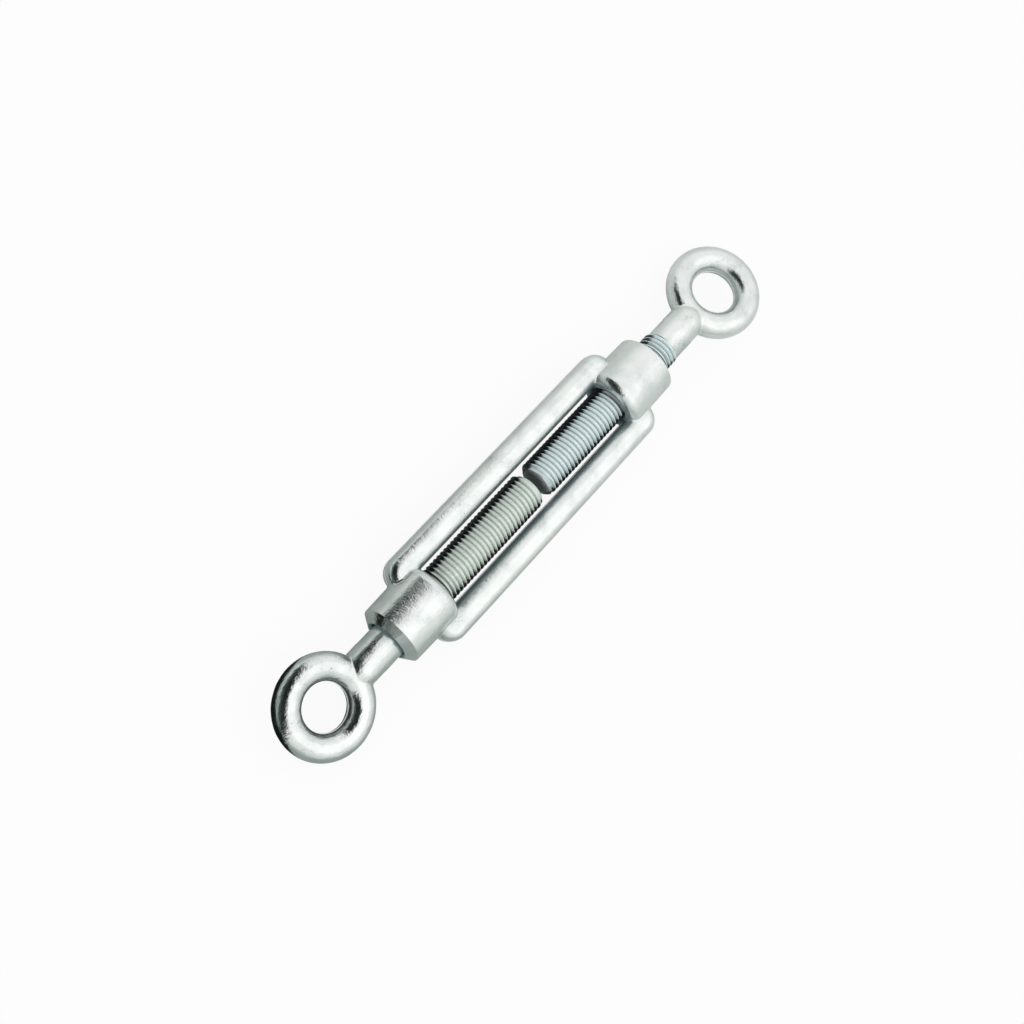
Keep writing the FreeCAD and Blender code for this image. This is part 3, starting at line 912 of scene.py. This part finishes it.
def matt_paper(colour, bright, painted_floor_shade, lift, glint):
    """Pale matt paper that keeps a soft shadow: the camera sees it almost white, and the metal rather less
    so. To the metal it shows painted shade, darker towards the left-hand eye."""
    material = new_material("matt_pale_paper")
    tree = material.node_tree
    path = add_node(tree, "ShaderNodeLightPath")
    place = add_node(tree, "ShaderNodeTexCoord").outputs["Object"]
    along = add_node(tree, "ShaderNodeSeparateXYZ", {}, {"Vector": place})
    turn = add_node(
        tree, "ShaderNodeMapRange", {"From Min": FLOOR_TURN[0], "From Max": FLOOR_TURN[1]},
        {"Value": along.outputs["X"]}, interpolation_type="SMOOTHSTEP"
    )
    tone = add_node(
        tree, "ShaderNodeMix", {6: rgba(painted_floor_shade), 7: rgba(bright)}, {0: turn.outputs["Result"]},
        data_type="RGBA"
    )
    # The metal sees the mirrored tone with its painted shade; other rays see the paper's colour
    dye_or_painted_shade = add_node(
        tree, "ShaderNodeMix", {6: rgba(colour)}, {0: path.outputs["Is Glossy Ray"], 7: tone.outputs[2]},
        data_type="RGBA"
    )
    paper = add_node(
        tree, "ShaderNodeBsdfPrincipled", {"Roughness": 0.9, "Specular IOR Level": 0.1},
        {"Base Color": dye_or_painted_shade.outputs[2]}
    )
    white = add_node(tree, "ShaderNodeEmission", {"Color": (1, 1, 1, 1), "Strength": 1.0})
    through = add_node(
        tree, "ShaderNodeMath", {},
        {0: path.outputs["Is Camera Ray"], 1: path.outputs["Is Transmission Ray"]}, operation="MAXIMUM"
    )
    seen = add_node(tree, "ShaderNodeMath", {1: lift}, {0: through.outputs[0]}, operation="MULTIPLY")
    both = add_node(
        tree, "ShaderNodeMath", {1: glint}, {0: path.outputs["Is Glossy Ray"], 2: seen.outputs[0]},
        operation="MULTIPLY_ADD"
    )
    surface = add_node(
        tree, "ShaderNodeMixShader", {},
        {0: both.outputs[0], 1: paper.outputs["BSDF"], 2: white.outputs["Emission"]}
    )
    add_node(tree, "ShaderNodeOutputMaterial", {}, {"Surface": surface.outputs["Shader"]})
    return material


def matt_cloth(colour, foot_colour):
    """Dull black cloth that the metal mirrors as its dark bands. Its foot is paler and greenish, but stays
    black behind the left-hand eye."""
    material = new_material("black_studio_cloth")
    tree = material.node_tree
    place = add_node(tree, "ShaderNodeTexCoord").outputs["Object"]
    spot = add_node(tree, "ShaderNodeSeparateXYZ", {}, {"Vector": place})
    rise, behind = (
        add_node(
            tree, "ShaderNodeMapRange", {"From Min": first, "From Max": last}, {"Value": spot.outputs[axis]}
        )
        for axis, (first, last) in (("Z", CLOTH_FOOT), ("X", CLOTH_BEHIND))
    )
    dark = add_node(
        tree, "ShaderNodeMath", {}, {0: rise.outputs["Result"], 1: behind.outputs["Result"]},
        operation="MAXIMUM"
    )
    dye_or_painted_shade = add_node(
        tree, "ShaderNodeMix", {6: rgba(foot_colour), 7: rgba(colour)}, {0: dark.outputs["Value"]},
        data_type="RGBA"
    )
    shader = add_node(
        tree, "ShaderNodeBsdfPrincipled", {"Roughness": 0.95, "Specular IOR Level": 0.0},
        {"Base Color": dye_or_painted_shade.outputs[2]}
    )
    add_node(tree, "ShaderNodeOutputMaterial", {}, {"Surface": shader.outputs["BSDF"]})
    return material


def white_room(wall_shade, light):
    """A white room with its window on the right: where the metal mirrors them, the walls fall off to grey
    towards the horizon and away from the window."""
    world = bpy.data.worlds.new("white_room")
    world.use_nodes = True
    tree = world.node_tree
    tree.nodes.clear()
    path = add_node(tree, "ShaderNodeLightPath")
    towards = add_node(tree, "ShaderNodeTexCoord").outputs["Generated"]
    height = add_node(tree, "ShaderNodeVectorMath", {1: ROOM_UP}, {0: towards}, operation="DOT_PRODUCT")
    rise = add_node(
        tree, "ShaderNodeMapRange", {"From Min": ROOM_RISE[0], "From Max": ROOM_RISE[1]},
        {"Value": height.outputs["Value"]}, interpolation_type="SMOOTHSTEP"
    )
    walls = add_node(
        tree, "ShaderNodeMix", {6: rgba(wall_shade), 7: (1, 1, 1, 1)}, {0: rise.outputs["Result"]},
        data_type="RGBA"
    )
    mirrored = add_node(
        tree, "ShaderNodeMix", {6: (light, light, light, 1)},
        {0: path.outputs["Is Glossy Ray"], 7: walls.outputs[2]}, data_type="RGBA"
    )
    through = add_node(
        tree, "ShaderNodeMath", {},
        {0: path.outputs["Is Camera Ray"], 1: path.outputs["Is Transmission Ray"]}, operation="MAXIMUM"
    )
    seen = add_node(
        tree, "ShaderNodeMix", {7: (1, 1, 1, 1)}, {0: through.outputs[0], 6: mirrored.outputs[2]},
        data_type="RGBA"
    )
    sky = add_node(tree, "ShaderNodeBackground", {"Strength": 1.0}, {"Color": seen.outputs[2]})
    add_node(tree, "ShaderNodeOutputWorld", {}, {"Surface": sky.outputs["Background"]})
    return world


def soft_lamp(name, place, size, power):
    """A soft rectangular lamp turned to the middle of the part."""
    lamp = bpy.data.lights.new(name, "AREA")
    lamp.shape = "RECTANGLE"
    lamp.size, lamp.size_y = size
    lamp.energy = power
    holder = bpy.data.objects.new(name, lamp)
    holder.location = place
    holder.rotation_euler = (-Vector(place)).to_track_quat("-Z", "Y").to_euler()
    bpy.context.scene.collection.objects.link(holder)


class TURNBUCKLE_OT_stage(bpy.types.Operator):
    """Set the white floor, the cloth, the soft light and the camera"""

    bl_idname = "turnbuckle.stage"
    bl_label = "Stage"

    def execute(self, context):
        stage = settings().stage
        scene = context.scene
        scene.view_settings.view_transform = "Standard"

        camera = bpy.data.objects.new("camera", bpy.data.cameras.new("camera"))
        camera.location = stage.camera_place
        camera.rotation_euler = stage.camera_turn
        camera.data.lens = stage.lens
        camera.data.sensor_width = SENSOR_WIDTH
        camera.data.clip_start = NEAREST
        scene.collection.objects.link(camera)
        scene.camera = camera

        bm = bmesh.new()
        bmesh.ops.create_circle(bm, cap_ends=True, segments=stage.floor_steps, radius=stage.floor_radius)
        bmesh.ops.translate(bm, verts=bm.verts[:], vec=(0, 0, CAD_BOX[0].z - stage.floor_gap))
        stage_piece(bm, "floor", matt_paper(
            stage.floor_colour, stage.floor_bright, stage.floor_painted_shade, stage.floor_lift, stage.floor_glint
        ))

        # The cloth stands beside the part, above it in the picture, and leans over it at the top
        bm = bmesh.new()
        rows = (
            (stage.cloth_start, stage.cloth_end),
            ((*stage.cloth_start[:2], stage.cloth_waist), (*stage.cloth_end[:2], stage.cloth_waist)),
            (stage.cloth_top_start, stage.cloth_top_end),
        )
        fold = bm.edges.new([bm.verts.new(corner) for corner in rows[0]])
        for lower, upper in zip(rows, rows[1:]):
            drawn = bmesh.ops.extrude_edge_only(bm, edges=[fold])["geom"]
            moved = [item for item in drawn if isinstance(item, bmesh.types.BMVert)]
            for vert in moved:
                vert.co = upper[0] if (vert.co - Vector(lower[0])).length < WELD else upper[1]
            fold = bm.edges.get(moved)
        pieces = [stage_piece(bm, "black_cloth", matt_cloth(stage.cloth_colour, stage.cloth_foot_colour))]
        bm = bmesh.new()
        bmesh.ops.create_grid(bm, x_segments=1, y_segments=1, size=0.5)
        bmesh.ops.scale(bm, vec=(*stage.tail_size, 1), verts=bm.verts[:])
        bmesh.ops.translate(bm, vec=stage.tail_place, verts=bm.verts[:])
        pieces.append(stage_piece(bm, "cloth_tail", matt_cloth(stage.cloth_colour, stage.cloth_colour)))
        for cloth in pieces:
            cloth.visible_camera = False
            cloth.visible_shadow = False
            cloth.visible_diffuse = False

        scene.world = white_room(stage.wall_shade, stage.room_light)
        soft_lamp("window_softbox", stage.lamp_place, stage.lamp_size, stage.softbox_power)
        return {"FINISHED"}


class TurnbuckleSettings(bpy.types.PropertyGroup):
    """All the sizes and colours of the scene."""

    screw: PointerProperty(type=ScrewSizes)
    eye: PointerProperty(type=EyeSizes)
    flash: PointerProperty(type=FlashSizes)
    finish: PointerProperty(type=Finishes)
    stage: PointerProperty(type=StageSettings)


OPERATORS = (TURNBUCKLE_OT_stage, TURNBUCKLE_OT_frame, TURNBUCKLE_OT_bolts)


class TURNBUCKLE_PT_sidebar(bpy.types.Panel):
    """Lists the pieces of the turnbuckle and their sizes"""

    bl_idname = "TURNBUCKLE_PT_sidebar"
    bl_label = "Turnbuckle"
    bl_space_type = "VIEW_3D"
    bl_region_type = "UI"
    bl_category = "Turnbuckle"

    def draw(self, context):
        for operator in OPERATORS:
            self.layout.operator(operator.bl_idname)
        values = settings()
        for group in (values.screw, values.eye, values.flash, values.finish, values.stage):
            box = self.layout.box()
            for name in group.bl_rna.properties.keys():
                if name not in ("name", "rna_type"):
                    box.prop(group, name)


CLASSES = (
    ScrewSizes, EyeSizes, FlashSizes, Finishes, StageSettings, TurnbuckleSettings, *OPERATORS,
    TURNBUCKLE_PT_sidebar
)


def register():
    """Make the operators, the panel and the settings known to Blender."""
    for item in CLASSES:
        bpy.utils.register_class(item)
    bpy.types.Scene.turnbuckle = PointerProperty(type=TurnbuckleSettings)


def unregister():
    """Take them away again."""
    del bpy.types.Scene.turnbuckle
    for item in reversed(CLASSES):
        bpy.utils.unregister_class(item)


def main():
    """Build the stage and the part."""
    register()
    bpy.ops.turnbuckle.stage()
    bpy.ops.turnbuckle.frame()
    bpy.ops.turnbuckle.bolts()


if __name__ == "__main__":
    main()
